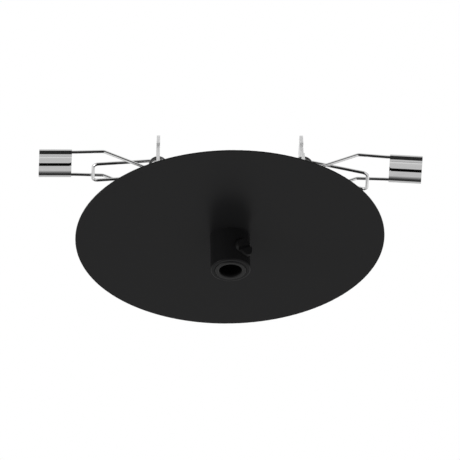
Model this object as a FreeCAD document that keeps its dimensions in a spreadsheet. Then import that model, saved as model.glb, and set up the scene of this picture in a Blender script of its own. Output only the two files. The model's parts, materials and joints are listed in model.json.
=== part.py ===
import FreeCAD, Part
import math
import os
import re

import Sketcher
from FreeCAD import Placement, Rotation, Vector

# Recessed-hole ceiling rose with a cord grip and two sprung side clips.
# Millimetres and degrees. +Z points up into the ceiling, X runs along the line of the clips, and
# the origin is the centre of the cover plate's back face, which lies against the ceiling.

SIZES = [
    # Cuts: how far they reach past an outline and through the material.
    ("cut_margin", 1.0),
    ("through_cut", 200.0),
    # Cover plate: a thin flat disc with one central hole.
    ("plate_diameter", 120.0),
    ("plate_thickness", 0.6),
    ("plate_edge_round", 0.12),
    ("plate_hole_gap", 0.2),
    # Threaded tube M10 x 1 that carries the cord through the plate and pulls everything together.
    ("tube_diameter", 10.0),
    ("tube_bore", 8.0),
    ("tube_grip_depth", 4.0),
    ("tube_proud", 2.4),
    ("tube_chamfer", 0.5),
    # Cord grip: a round metal shell over a nylon core, clamped by one side screw.
    ("shell_length", 15.0),
    ("shell_wall", 1.1),
    ("shell_floor", 1.3),
    ("shell_edge_round", 0.45),
    ("core_gap", 0.1),
    ("core_wall", 1.45),
    ("core_top_gap", 0.2),
    ("tube_fit", 0.05),
    ("cord_bore", 8.9),
    ("lip_diameter", 12.0),
    ("lip_groove", 0.2),
    ("lip_proud", 0.35),
    ("lip_round", 0.3),
    # Side screw of the cord grip.
    ("screw_bearing_angle", -47.0),
    ("screw_drop", 8.1),
    ("screw_diameter", 4.0),
    ("screw_fit", 0.05),
    ("screw_head_diameter", 7.7),
    ("screw_head_height", 2.2),
    ("screw_head_round", 0.5),
    ("screw_head_proud", 0.95),
    ("screw_head_gap", 0.2),
    ("screw_travel", 1.2),
    ("screw_seat_gap", 0.05),
    ("screw_tip_gap", 0.2),
    ("screw_slot_width", 1.1),
    ("screw_slot_depth", 0.9),
    ("screw_slot_angle", 35.0),
    # Strap bracket: one strip of sheet bent up at both ends.
    ("strap_thickness", 1.3),
    ("strap_width", 16.0),
    ("strap_shift", 0.55),
    ("strap_hole_gap", 0.6),
    ("strap_bend", 1.2),
    ("post_foot", 2.6),
    ("post_span", 56.5),
    ("post_parting", 4.0),
    ("post_lean_angle", 2.0),
    ("post_top", 43.35),
    ("shoulder_bottom", 5.0),
    ("shoulder_top", 11.0),
    ("neck_width", 9.2),
    ("head_width", 14.2),
    ("head_height", 4.0),
    ("head_corner", 1.2),
    # Ears of the bracket, which carry the coils, with a hook outside each coil.
    ("pivot_height", 29.2),
    ("ear_height", 2.0),
    ("ear_end_gap", 0.22),
    ("hook_width", 1.3),
    ("hook_rise", 3.2),
    # Earth terminal on a small upright tab of the strap.
    ("tab_width", 9.0),
    ("tab_height", 11.0),
    ("tab_place", -15.0),
    ("tab_corner", 2.0),
    ("earth_height", 6.4),
    ("earth_diameter", 4.0),
    ("earth_hole_gap", 0.25),
    ("earth_head_diameter", 8.0),
    ("earth_head_height", 2.2),
    ("earth_head_bevel", 0.75),
    ("earth_proud", 1.6),
    ("earth_washer_diameter", 9.0),
    ("earth_washer_thickness", 0.8),
    ("earth_nut_flats", 7.0),
    ("earth_nut_height", 3.2),
    ("earth_slot_width", 1.1),
    ("earth_slot_depth", 1.0),
    # Washers, nut and end bush on the threaded tube.
    ("washer_diameter", 16.0),
    ("washer_thickness", 1.0),
    ("washer_gap", 0.25),
    ("lock_diameter", 15.6),
    ("lock_thickness", 0.9),
    ("lock_teeth", 12.0),
    ("lock_notch_width", 1.8),
    ("lock_notch_depth", 1.5),
    ("nut_flats", 14.0),
    ("nut_height", 3.0),
    ("nut_turn_angle", 12.0),
    ("nut_bevel_slope", 2.0),
    ("bush_bore", 6.6),
    ("bush_flange", 10.6),
    ("bush_flange_height", 0.9),
    ("bush_mouth_round", 0.3),
    ("bush_depth", 5.0),
    ("bush_fit", 0.08),
    # Double torsion springs, bent from round wire.
    ("wire_diameter", 1.25),
    ("coil_diameter", 5.7),
    ("coil_pitch", 2.1),
    ("bridge_width", 11.1),
    ("bridge_reach", 24.8),
    ("bridge_corner", 1.9),
    ("arm_root_run", 3.64),
    ("arm_rise_run", 17.26),
    ("arm_rise_angle", 25.0),
    ("arm_bend", 2.4),
    ("arm_side_bend", 9.6),
    # How each spring hangs: its play outward on its ear, the tilt of its arms, the droop of its bridge.
    ("left_play", 0.05),
    ("left_tilt_angle", 0.0),
    ("left_droop_angle", 4.5),
    ("right_play", 0.3),
    ("right_tilt_angle", -3.6),
    ("right_droop_angle", 13.9),
    # Sheet sleeve wrapped round the ends of both arms of a spring.
    ("sleeve_start", 33.3),
    ("sleeve_length", 12.65),
    ("sleeve_width", 17.5),
    ("sleeve_sheet", 0.4),
    ("sleeve_fit", 0.04),
    ("sleeve_seam", 2.0),
    ("sleeve_wire_stop", 0.8),
    ("sleeve_lead", 1.5),
]

# One turn of a coil is four quarter turns. Six quarters make the turn and a half of each coil, and
# the first and the last quarter advance by half as much as the others.
COIL_QUARTERS = 6
COIL_TURNING = 540.0
END_QUARTER_SHARE = 0.5
FULL_TURN_QUARTERS = 4
COIL_ADVANCE = (COIL_QUARTERS - 2 + 2 * END_QUARTER_SHARE) / FULL_TURN_QUARTERS
LEAST_WIRE_GAP = 0.4
SAMPLE_STEP = 0.1
STRAIGHT_TURN = 1e-7
SAME_PLACE = 0.001

SIDES = {"left": -1, "right": 1}
ENDS = {"front": -1, "rear": 1}

doc = FreeCAD.newDocument("recessed_ceiling_rose")
sheet = doc.addObject("Spreadsheet::Sheet", "Sizes")
for number, (alias, value) in enumerate(SIZES, start=1):
    sheet.set("A%d" % number, alias)
    sheet.set("B%d" % number, str(value))
    sheet.setAlias("B%d" % number, alias)
doc.recompute()

pieces = []


def size(alias):
    """One value of the sheet as a plain number."""
    return float(sheet.get(alias))


def expression(text):
    """Words in braces name cells of the sheet."""
    return re.sub(r"\{(\w+)\}", r"Sizes.\1", text)


def bind(target, name, text):
    target.setExpression(name, expression(text))


def value_of(text):
    """What an expression of the sheet is worth now."""
    result = sheet.evalExpression(expression(text))
    return float(getattr(result, "Value", result))


def new_body(name):
    body = doc.addObject("PartDesign::Body", name)
    body.Label = name
    pieces.append(body)
    return body


def new_sketch(body, name, plane):
    """A sketch on one of the body's own origin planes."""
    sketch = body.newObject("Sketcher::SketchObject", name)
    support = [f for f in body.Origin.OriginFeatures if f.Role == plane][0]
    sketch.AttachmentSupport = [(support, "")]
    sketch.MapMode = "FlatFace"
    return sketch


def pin_point(sketch, geometry, end, where):
    """Ties one point of a sketch to a place given by two expressions."""
    values = [value_of(text) for text in where]
    for kind, text, value, axis in zip(("DistanceX", "DistanceY"), where, values, (-2, -1)):
        if text == "0":
            sketch.addConstraint(Sketcher.Constraint("PointOnObject", geometry, end, axis))
        else:
            index = sketch.addConstraint(Sketcher.Constraint(kind, -1, 1, geometry, end, value))
            bind(sketch, "Constraints[%d]" % index, text)


def add_polygon(sketch, corners):
    """A closed outline of straight lines through corners given as pairs of expressions."""
    points = [Vector(value_of(x), value_of(y), 0) for x, y in corners]
    count = len(points)
    lines = [
        sketch.addGeometry(Part.LineSegment(points[i], points[(i + 1) % count]), False)
        for i in range(count)
    ]
    for i in range(count):
        joined = Sketcher.Constraint("Coincident", lines[i], 2, lines[(i + 1) % count], 1)
        sketch.addConstraint(joined)
    for line, where in zip(lines, corners):
        pin_point(sketch, line, 1, where)
    return sketch


def add_circle(sketch, where, radius):
    centre = Vector(value_of(where[0]), value_of(where[1]), 0)
    circle = sketch.addGeometry(Part.Circle(centre, Vector(0, 0, 1), value_of(radius)), False)
    if where == ("0", "0"):
        sketch.addConstraint(Sketcher.Constraint("Coincident", circle, 3, -1, 1))
    else:
        pin_point(sketch, circle, 3, where)
    index = sketch.addConstraint(Sketcher.Constraint("Radius", circle, value_of(radius)))
    bind(sketch, "Constraints[%d]" % index, radius)
    return sketch


def add_slot(sketch, half_span, radius):
    """A round-ended slot along the sketch's X axis, centred on its origin."""
    reach = value_of(half_span)
    round_radius = value_of(radius)
    up = Vector(0, round_radius, 0)
    axis = Vector(0, 0, 1)
    right, left = Vector(reach, 0, 0), Vector(-reach, 0, 0)
    quarter = math.pi / 2
    right_end = sketch.addGeometry(
        Part.ArcOfCircle(Part.Circle(right, axis, round_radius), -quarter, quarter), False
    )
    top = sketch.addGeometry(Part.LineSegment(right + up, left + up), False)
    left_end = sketch.addGeometry(
        Part.ArcOfCircle(Part.Circle(left, axis, round_radius), quarter, 3 * quarter), False
    )
    bottom = sketch.addGeometry(Part.LineSegment(left - up, right - up), False)
    for first, first_end, second, second_end in (
        (right_end, 2, top, 1),
        (top, 2, left_end, 1),
        (left_end, 2, bottom, 1),
        (bottom, 2, right_end, 1),
    ):
        sketch.addConstraint(
            Sketcher.Constraint("Tangent", first, first_end, second, second_end)
        )
    pin_point(sketch, right_end, 3, (half_span, "0"))
    pin_point(sketch, left_end, 3, ("0 - (%s)" % half_span, "0"))
    index = sketch.addConstraint(Sketcher.Constraint("Radius", right_end, round_radius))
    bind(sketch, "Constraints[%d]" % index, radius)
    return sketch


def add_feature(body, kind, name, sketch):
    feature = body.newObject("PartDesign::" + kind, name)
    feature.Profile = sketch
    sketch.Visibility = False
    return feature


def add_pad(body, name, sketch, length, midplane=False):
    pad = add_feature(body, "Pad", name, sketch)
    pad.Midplane = midplane
    bind(pad, "Length", length)
    doc.recompute()
    return pad


def add_cut(body, name, sketch):
    """A pocket through everything on both sides of its sketch, which must take material away."""
    before = body.Shape.Volume
    pocket = add_feature(body, "Pocket", name, sketch)
    pocket.Midplane = True
    bind(pocket, "Length", "{through_cut}")
    doc.recompute()
    if not body.Shape.Volume < before:
        raise ValueError("%s cuts nothing" % name)
    return pocket


def add_turned(body, name, corners):
    """A solid of revolution about Z from half its section, given as (radius, height) pairs."""
    sketch = add_polygon(new_sketch(body, name + "_section", "XZ_Plane"), corners)
    turned = add_feature(body, "Revolution", name, sketch)
    turned.ReferenceAxis = (sketch, ["V_Axis"])
    turned.Angle = 360
    doc.recompute()
    return turned


def edges_where(shape, wanted):
    """Names of the edges whose two ends and middle satisfy a test."""
    names = []
    for number, edge in enumerate(shape.Edges, start=1):
        middle = edge.valueAt((edge.FirstParameter + edge.LastParameter) / 2)
        ends = [vertex.Point for vertex in edge.Vertexes]
        if all(wanted(point) for point in ends + [middle]):
            names.append("Edge%d" % number)
    return names


def add_rounding(body, kind, name, wanted, amount_name, amount):
    """A fillet or a chamfer on the chosen edges of the body's last shape."""
    last = body.Tip
    names = edges_where(last.Shape, wanted)
    if not names:
        raise ValueError("%s finds no edge" % name)
    feature = body.newObject("PartDesign::" + kind, name)
    feature.Base = (last, names)
    bind(feature, amount_name, amount)
    doc.recompute()
    return feature


def near(a, b):
    return abs(a - b) < SAME_PLACE


# ---- Cover plate, threaded tube and cord grip ----

FRONT = "0 - {plate_thickness}"
SHELL_BOTTOM = FRONT + " - {shell_length}"
CORE_RADIUS = "{tube_diameter} / 2 + {tube_fit} + {core_wall}"
SHELL_RADIUS = CORE_RADIUS + " + {core_gap} + {shell_wall}"
STACK = "{strap_thickness} + {washer_thickness} + {lock_thickness} + {nut_height}"
TUBE_TOP = STACK + " + {tube_proud}"
TUBE_BOTTOM = FRONT + " - {tube_grip_depth}"
SCREW_HEIGHT = FRONT + " - {screw_drop}"


def make_cover_plate():
    body = new_body("cover_plate")
    outline = new_sketch(body, "plate_outline", "XY_Plane")
    add_circle(outline, ("0", "0"), "{plate_diameter} / 2")
    add_circle(outline, ("0", "0"), "{tube_diameter} / 2 + {plate_hole_gap}")
    pad = add_pad(body, "plate_disc", outline, "{plate_thickness}")
    pad.Reversed = True
    doc.recompute()
    rim = size("plate_diameter") / 2
    add_rounding(
        body,
        "Fillet",
        "plate_rim",
        lambda p: near(math.hypot(p.x, p.y), rim) and (near(p.z, 0) or near(p.z, value_of(FRONT))),
        "Radius",
        "{plate_edge_round}",
    )


def make_threaded_tube():
    body = new_body("threaded_tube")
    outer, bore, cut = "{tube_diameter} / 2", "{tube_bore} / 2", "{tube_chamfer}"
    add_turned(
        body,
        "tube",
        [
            (bore, TUBE_BOTTOM),
            (outer + " - " + cut, TUBE_BOTTOM),
            (outer, TUBE_BOTTOM + " + " + cut),
            (outer, TUBE_TOP + " - " + cut),
            (outer + " - " + cut, TUBE_TOP),
            (bore, TUBE_TOP),
        ],
    )


def make_grip_shell():
    body = new_body("grip_shell")
    outer = SHELL_RADIUS
    inner = outer + " - {shell_wall}"
    hole = "{lip_diameter} / 2 + {lip_groove}"
    add_turned(
        body,
        "shell",
        [
            (inner, FRONT),
            (outer, FRONT),
            (outer, SHELL_BOTTOM),
            (hole, SHELL_BOTTOM),
            (hole, SHELL_BOTTOM + " + {shell_floor}"),
            (inner, SHELL_BOTTOM + " + {shell_floor}"),
        ],
    )
    rim = value_of(SHELL_RADIUS)
    add_rounding(
        body,
        "Fillet",
        "shell_edge",
        lambda p: near(math.hypot(p.x, p.y), rim) and near(p.z, value_of(SHELL_BOTTOM)),
        "Radius",
        "{shell_edge_round}",
    )
    cut_screw_hole(body, "head_hole", "{screw_head_diameter} / 2 + {screw_head_gap}", "0")


def make_grip_core():
    body = new_body("grip_core")
    outer = CORE_RADIUS
    shoulder = SHELL_BOTTOM + " + {shell_floor} + {core_gap}"
    lip, lip_end = "{lip_diameter} / 2", SHELL_BOTTOM + " - {lip_proud}"
    bore, socket = "{cord_bore} / 2", "{tube_diameter} / 2 + {tube_fit}"
    top = FRONT + " - {core_top_gap}"
    add_turned(
        body,
        "core",
        [
            (socket, top),
            (outer, top),
            (outer, shoulder),
            (lip, shoulder),
            (lip, lip_end),
            (bore, lip_end),
            (bore, TUBE_BOTTOM),
            (socket, TUBE_BOTTOM),
        ],
    )
    add_rounding(
        body,
        "Fillet",
        "lip_edges",
        lambda p: near(p.z, value_of(lip_end)),
        "Radius",
        "{lip_round}",
    )
    lowest = SHELL_RADIUS + " + {screw_head_proud} - {screw_head_height} - {screw_travel}"
    seat = lowest + " - {screw_seat_gap}"
    cut_screw_hole(body, "shank_hole", "{screw_diameter} / 2 + {screw_fit}", "0")
    cut_screw_hole(body, "head_seat", "{screw_head_diameter} / 2 + {screw_head_gap}", seat)


def cut_screw_hole(body, name, radius, start):
    """A round hole from a distance off the grip's axis outwards, along the side screw."""
    before = body.Shape.Volume
    sketch = new_sketch(body, name + "_outline", "YZ_Plane")
    add_circle(sketch, ("0", "0"), radius)
    bind(sketch, ".AttachmentOffset.Base.y", SCREW_HEIGHT)
    hole = add_feature(body, "Pocket", name, sketch)
    hole.Reversed = True
    bind(sketch, ".AttachmentOffset.Base.z", start)
    bind(hole, "Length", SHELL_RADIUS + " + {screw_head_proud} - (%s)" % start)
    doc.recompute()
    if not body.Shape.Volume < before:
        raise ValueError("%s cuts nothing" % name)
    return hole


def make_grip_screw():
    """Head outside, shank towards the cord. Made about Z, then laid along +X."""
    body = new_body("grip_screw")
    shank, head = "{screw_diameter} / 2", "{screw_head_diameter} / 2"
    face = SHELL_RADIUS + " + {screw_head_proud}"
    neck = face + " - {screw_head_height}"
    tip = "{cord_bore} / 2 + {screw_tip_gap}"
    edge = "{screw_head_round}"
    add_turned(
        body,
        "screw",
        [
            ("0", tip),
            (shank, tip),
            (shank, neck),
            (head, neck),
            (head, face + " - " + edge),
            (head + " - " + edge, face),
            ("0", face),
        ],
    )
    slot = new_sketch(body, "slot_outline", "XZ_Plane")
    half = "{screw_slot_width} / 2"
    floor = face + " - {screw_slot_depth}"
    above = face + " + {screw_slot_depth}"
    add_polygon(
        slot, [("0 - " + half, floor), (half, floor), (half, above), ("0 - " + half, above)]
    )
    add_cut(body, "slot", slot)
    lay_along_x = Rotation(Vector(0, 1, 0), 90)
    body.Placement = Placement(
        Vector(0, 0, value_of(SCREW_HEIGHT)),
        lay_along_x * Rotation(Vector(0, 0, 1), size("screw_slot_angle")),
    )


def turn_to_screw_bearing(bodies):
    """The side screw and the holes for it point to the screw's bearing about Z."""
    about_z = Placement(Vector(), Rotation(Vector(0, 0, 1), size("screw_bearing_angle")))
    for body in bodies:
        body.Placement = about_z * body.Placement


# ---- Strap bracket ----

NECK = "{neck_width} / 2"
ARM_SIDE = "{bridge_width} / 2 + {coil_pitch} * %s" % COIL_ADVANCE
EAR_ROOM = ARM_SIDE + " + {wire_diameter} / 2 + {ear_end_gap}"
EAR_TIP = "(" + EAR_ROOM + " + {hook_width})"


def post_middle(height):
    """Distance of a post's middle plane from the strap's own centre at a height."""
    return "{post_span} / 2 + tan({post_lean_angle}) * ({pivot_height} - (%s))" % height


def make_bracket():
    """The bent strip is made whole, and then its two posts are parted from it above the bends."""
    strip = make_bent_strip()
    rooms = [post_room(side) for side in SIDES]
    posts = [
        combine("Common", side + "_post", strip, room) for side, room in zip(SIDES, rooms)
    ]
    shorter = combine("Cut", "strip_without_left_post", strip, rooms[0])
    strap = combine("Cut", "mounting_strap", shorter, rooms[1])
    pieces.extend([strap] + posts)


def post_room(side):
    """A box around one post from its foot up."""
    room = doc.addObject("Part::Box", side + "_post_room")
    inner = "({post_span} / 2 - {post_parting})"
    bind(room, "Length", "{strap_width}")
    bind(room, "Width", "{post_span}")
    bind(room, "Height", "{post_top}")
    bind(room, ".Placement.Base.x", inner if SIDES[side] > 0 else "0 - {strap_width} - " + inner)
    bind(room, ".Placement.Base.y", "0 - {post_span} / 2")
    bind(room, ".Placement.Base.z", "{post_foot}")
    return room


def combine(kind, name, base, tool):
    result = doc.addObject("Part::" + kind, name)
    result.Base = base
    result.Tool = tool
    result.Label = name
    doc.recompute()
    return result


def make_bent_strip():
    body = doc.addObject("PartDesign::Body", "bent_strip")
    half = "{strap_thickness} / 2 / cos({post_lean_angle})"
    top, sheet_top = "{post_top}", "{strap_thickness}"
    outer_bottom = post_middle("0") + " + " + half
    outer_top = post_middle(top) + " + " + half
    inner_top = post_middle(top) + " - " + half
    inner_bottom = post_middle(sheet_top) + " - " + half

    def at(sign, reach, height):
        return ("{strap_shift} %s (%s)" % (sign, reach), height)

    section = new_sketch(body, "strap_section", "XZ_Plane")
    add_polygon(
        section,
        [
            at("+", outer_bottom, "0"),
            at("+", outer_top, top),
            at("+", inner_top, top),
            at("+", inner_bottom, sheet_top),
            at("-", inner_bottom, sheet_top),
            at("-", inner_top, top),
            at("-", outer_top, top),
            at("-", outer_bottom, "0"),
        ],
    )
    add_pad(body, "strap_strip", section, EAR_TIP + " * 2", True)
    bend_at_foot(body)
    cut_post_outline(body)
    hole = new_sketch(body, "strap_hole_outline", "XY_Plane")
    add_circle(hole, ("{strap_shift}", "0"), "{tube_diameter} / 2 + {strap_hole_gap}")
    add_cut(body, "strap_hole", hole)
    add_earth_tab(body)
    top_height = size("post_top")
    reach = size("head_width") / 2
    add_rounding(
        body,
        "Fillet",
        "head_corners",
        lambda p: near(p.z, top_height) and near(abs(p.y), reach),
        "Radius",
        "{head_corner}",
    )
    return body


def bend_at_foot(body):
    """Rounds the strip where it turns up into each post, inside and outside."""
    inner_level, outer_level = size("strap_thickness"), 0.0
    for name, level, radius in (
        ("inner_bends", inner_level, "{strap_bend}"),
        ("outer_bends", outer_level, "{strap_bend} + {strap_thickness}"),
    ):
        add_rounding(
            body,
            "Fillet",
            name,
            lambda p, level=level: near(p.z, level)
            and abs(p.x - size("strap_shift")) > size("post_span") / 2 - size("strap_thickness"),
            "Radius",
            radius,
        )


def cut_post_outline(body):
    """Cuts the strip to the bracket's outline seen along X: strap, shoulders, neck, ears and head."""
    ear_low = "{pivot_height} - {ear_height} / 2"
    ear_high = "{pivot_height} + {ear_height} / 2"
    hook_top = "{pivot_height} + {hook_rise}"
    head_low = "{post_top} - {head_height}"
    below, above = "0 - {cut_margin}", "{post_top} + {cut_margin}"
    half = [
        ("{strap_width} / 2", below),
        ("{strap_width} / 2", "{shoulder_bottom}"),
        (NECK, "{shoulder_top}"),
        (NECK, ear_low),
        (EAR_TIP, ear_low),
        (EAR_TIP, hook_top),
        (EAR_ROOM, hook_top),
        (EAR_ROOM, ear_high),
        (NECK, ear_high),
        (NECK, head_low),
        ("{head_width} / 2", head_low),
        ("{head_width} / 2", above),
        (EAR_TIP + " + {cut_margin}", above),
        (EAR_TIP + " + {cut_margin}", below),
    ]
    for name, sign in (("front_waste", "0 - "), ("rear_waste", "")):
        waste = new_sketch(body, name, "YZ_Plane")
        add_polygon(waste, [(sign + "(" + y + ")", z) for y, z in half])
        add_cut(body, name + "_cut", waste)


def add_earth_tab(body):
    """A tab bent up from the strap's rear edge, with a hole for the earth screw."""
    outline = new_sketch(body, "tab_outline", "XZ_Plane")
    half = "{tab_width} / 2"
    low, high = "{tab_place} - " + half, "{tab_place} + " + half
    add_polygon(outline, [(low, "0"), (high, "0"), (high, "{tab_height}"), (low, "{tab_height}")])
    bind(outline, ".AttachmentOffset.Base.z", "0 - {strap_width} / 2")
    add_pad(body, "earth_tab", outline, "{strap_thickness}")
    top = size("tab_height")
    add_rounding(
        body,
        "Fillet",
        "tab_corners",
        lambda p: near(p.z, top) and near(abs(p.x - size("tab_place")), size("tab_width") / 2),
        "Radius",
        "{tab_corner}",
    )
    hole = new_sketch(body, "earth_hole_outline", "XZ_Plane")
    add_circle(hole, ("{tab_place}", "{earth_height}"), "{earth_diameter} / 2 + {earth_hole_gap}")
    add_cut(body, "earth_hole", hole)


# ---- Earth terminal, made about Z and laid along Y through the tab ----


def lay_on_tab(body):
    """Local Z becomes -Y, away from the tab towards the strap's middle, starting at the tab's rear."""
    body.Placement = Placement(
        Vector(size("tab_place"), size("strap_width") / 2, size("earth_height")),
        Rotation(Vector(1, 0, 0), 90),
    )


def make_earth_terminal():
    screw = new_body("earth_screw")
    shank, head = "{earth_diameter} / 2", "{earth_head_diameter} / 2"
    tip = "{strap_thickness} + {earth_washer_thickness} + {earth_nut_height} + {earth_proud}"
    crown = "0 - {earth_head_height}"
    bevel = "{earth_head_bevel}"
    add_turned(
        screw,
        "earth_screw_turned",
        [
            ("0", crown),
            (head + " - " + bevel, crown),
            (head, crown + " + " + bevel),
            (head, "0"),
            (shank, "0"),
            (shank, tip),
            ("0", tip),
        ],
    )
    slot = new_sketch(screw, "earth_slot_outline", "XZ_Plane")
    half = "{earth_slot_width} / 2"
    floor, above = crown + " + {earth_slot_depth}", crown + " - {earth_slot_depth}"
    add_polygon(
        slot, [("0 - " + half, above), (half, above), (half, floor), ("0 - " + half, floor)]
    )
    add_cut(screw, "earth_slot", slot)
    washer = new_body("earth_washer")
    inner, outer = "{earth_diameter} / 2 + {earth_hole_gap}", "{earth_washer_diameter} / 2"
    low, high = "{strap_thickness}", "{strap_thickness} + {earth_washer_thickness}"
    add_turned(
        washer, "earth_washer_ring", [(inner, low), (outer, low), (outer, high), (inner, high)]
    )
    lay_on_tab(screw)
    lay_on_tab(washer)
    nut = make_hex_nut("earth_nut", "{earth_nut_flats}", "{earth_nut_height}", "{earth_diameter} / 2")
    nut.Placement = Placement(
        Vector(
            size("tab_place"),
            size("strap_width") / 2 - value_of(high),
            size("earth_height"),
        ),
        Rotation(Vector(1, 0, 0), 90),
    )


# ---- Washers, nut and bush on the threaded tube ----


def make_hex_nut(name, flats, height, bore):
    """A hexagonal prism, chamfered by a pair of cones, with a bore that meets its screw."""
    prism = doc.addObject("Part::Prism", name + "_prism")
    prism.Polygon = 6
    bind(prism, "Circumradius", flats + " / sqrt(3)")
    bind(prism, "Height", height)
    body = doc.addObject("Part::Common", name + "_chamfered")
    cone = doc.addObject("Part::Cone", name + "_cone")
    bind(cone, "Radius1", flats + " / 2 + " + height + " * {nut_bevel_slope}")
    bind(cone, "Radius2", flats + " / 2")
    bind(cone, "Height", height)
    body.Base = prism
    body.Tool = cone
    hole = doc.addObject("Part::Cylinder", name + "_bore")
    bind(hole, "Radius", bore)
    bind(hole, "Height", height)
    nut = doc.addObject("Part::Cut", name)
    nut.Base = body
    nut.Tool = hole
    nut.Label = name
    pieces.append(nut)
    doc.recompute()
    return nut


def make_tube_stack():
    hole = "{tube_diameter} / 2 + {washer_gap}"
    washer = new_body("flat_washer")
    low, high = "{strap_thickness}", "{strap_thickness} + {washer_thickness}"
    rim = "{washer_diameter} / 2"
    add_turned(washer, "washer_ring", [(hole, low), (rim, low), (rim, high), (hole, high)])
    make_lock_washer(hole, high)
    nut = make_hex_nut("hex_nut", "{nut_flats}", "{nut_height}", "{tube_diameter} / 2")
    nut.Placement = Placement(
        Vector(0, 0, value_of(high + " + {lock_thickness}")),
        Rotation(Vector(0, 0, 1), size("nut_turn_angle")),
    )
    make_tube_bush()


def make_lock_washer(hole, level):
    """A flat ring with notches all round that leave square teeth."""
    body = new_body("lock_washer")
    ring = new_sketch(body, "lock_outline", "XY_Plane")
    add_circle(ring, ("0", "0"), "{lock_diameter} / 2")
    add_circle(ring, ("0", "0"), hole)
    bind(ring, ".AttachmentOffset.Base.z", level)
    add_pad(body, "lock_ring", ring, "{lock_thickness}")
    notch = new_sketch(body, "lock_notch_outline", "XY_Plane")
    half = "{lock_notch_width} / 2"
    floor = "{lock_diameter} / 2 - {lock_notch_depth}"
    beyond = "{lock_diameter} / 2 + {lock_notch_depth}"
    add_polygon(
        notch, [(floor, "0 - " + half), (beyond, "0 - " + half), (beyond, half), (floor, half)]
    )
    cut = add_cut(body, "lock_notch", notch)
    pattern = body.newObject("PartDesign::PolarPattern", "lock_teeth_pattern")
    pattern.Originals = [cut]
    pattern.Axis = (notch, ["N_Axis"])
    pattern.Angle = 360
    bind(pattern, "Occurrences", "{lock_teeth}")
    body.Tip = pattern
    doc.recompute()


def make_tube_bush():
    """A smooth plastic mouth for the cord at the tube's upper end."""
    body = new_body("tube_bush")
    bore, spigot, flange = "{bush_bore} / 2", "{tube_bore} / 2 - {bush_fit}", "{bush_flange} / 2"
    top = TUBE_TOP + " + {bush_flange_height}"
    add_turned(
        body,
        "bush",
        [
            (bore, TUBE_TOP + " - {bush_depth}"),
            (spigot, TUBE_TOP + " - {bush_depth}"),
            (spigot, TUBE_TOP),
            (flange, TUBE_TOP),
            (flange, top),
            (bore, top),
        ],
    )
    add_rounding(
        body,
        "Fillet",
        "bush_mouth",
        lambda p: near(p.z, value_of(top)),
        "Radius",
        "{bush_mouth_round}",
    )


# ---- Springs ----
# A spring lies in its own frame: the coil axis is Y, X points outward and Z up. The bridge leaves the
# top of each coil outward and the arm leaves its bottom outward, and each coil has a turn and a half.

SLEEVE_ROUND = "{wire_diameter} / 2 + {sleeve_fit} + {sleeve_sheet}"
SLEEVE_WIRE_SIDE = "{sleeve_width} / 2 - (" + SLEEVE_ROUND + ")"


def unit(angle):
    return Vector(math.cos(math.radians(angle)), 0, math.sin(math.radians(angle)))


def arc_edge(start, direction, end):
    """The circular arc from start along direction to end, or a line where it doesn't turn."""
    chord = end - start
    turn = chord.getAngle(direction)
    if turn < STRAIGHT_TURN:
        return Part.LineSegment(start, end).toShape()
    side = (direction - chord * (direction.dot(chord) / chord.dot(chord))).normalize()
    sagitta = chord.Length / 2 * math.tan(turn / 2)
    return Part.Arc(start, start + chord / 2 + side * sagitta, end).toShape()


def biarc_edges(start, start_direction, end, end_direction):
    """Two arcs that leave start and reach end along the two unit directions."""
    gap = end - start
    both = start_direction + end_direction
    bend = 2 * (1 - start_direction.dot(end_direction))
    reach = (math.sqrt(gap.dot(both) ** 2 + bend * gap.dot(gap)) - gap.dot(both)) / bend
    middle = (start + start_direction * reach + end - end_direction * reach) / 2
    control = start + start_direction * reach
    joint = (middle - control).normalize()
    return [arc_edge(start, start_direction, middle), arc_edge(middle, joint, end)]


def coil_nodes(start_angle, turning, start_y, end_y):
    """Points and directions along a coil that winds from the arm to the bridge, clockwise seen from
    the front, with the first and last quarters advancing less."""
    radius = size("coil_diameter") / 2
    shares = [1.0] * COIL_QUARTERS
    shares[0] = shares[-1] = END_QUARTER_SHARE
    total = sum(shares)
    slope = (end_y - start_y) / total / (2 * math.pi * radius / FULL_TURN_QUARTERS)
    nodes = []
    done = 0.0
    for index in range(COIL_QUARTERS + 1):
        angle = start_angle - turning * index / COIL_QUARTERS
        y = start_y + (end_y - start_y) * done / total
        along = slope if 0 < index < COIL_QUARTERS else 0.0
        around = unit(angle - 90)
        direction = Vector(around.x, along, around.z).normalize()
        nodes.append((unit(angle) * radius + Vector(0, y, 0), direction))
        if index < COIL_QUARTERS:
            done += shares[index]
    return nodes


def coil_edges(nodes):
    edges = []
    for (start, leaving), (end, arriving) in zip(nodes, nodes[1:]):
        edges += biarc_edges(start, leaving, end, arriving)
    return edges


def rounded_edges(points, radii):
    """Straight runs through points, with a tangent arc of its own radius at each inner point."""
    edges = []
    last = points[0]
    for before, corner, after, radius in zip(points, points[1:], points[2:], radii):
        inward = (corner - before).normalize()
        outward = (after - corner).normalize()
        cut = radius * math.tan(inward.getAngle(outward) / 2)
        start, end = corner - inward * cut, corner + outward * cut
        edges.append(Part.LineSegment(last, start).toShape())
        edges.append(arc_edge(start, inward, end))
        last = end
    edges.append(Part.LineSegment(last, points[-1]).toShape())
    return edges


def wire_solid(edges):
    """Round wire along a chain of tangent edges."""
    start = edges[0].Vertexes[0].Point
    direction = edges[0].tangentAt(edges[0].FirstParameter)
    section = Part.Wire(Part.Circle(start, direction, size("wire_diameter") / 2).toShape())
    return Part.Wire(edges).makePipeShell([section], True, False)


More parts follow.
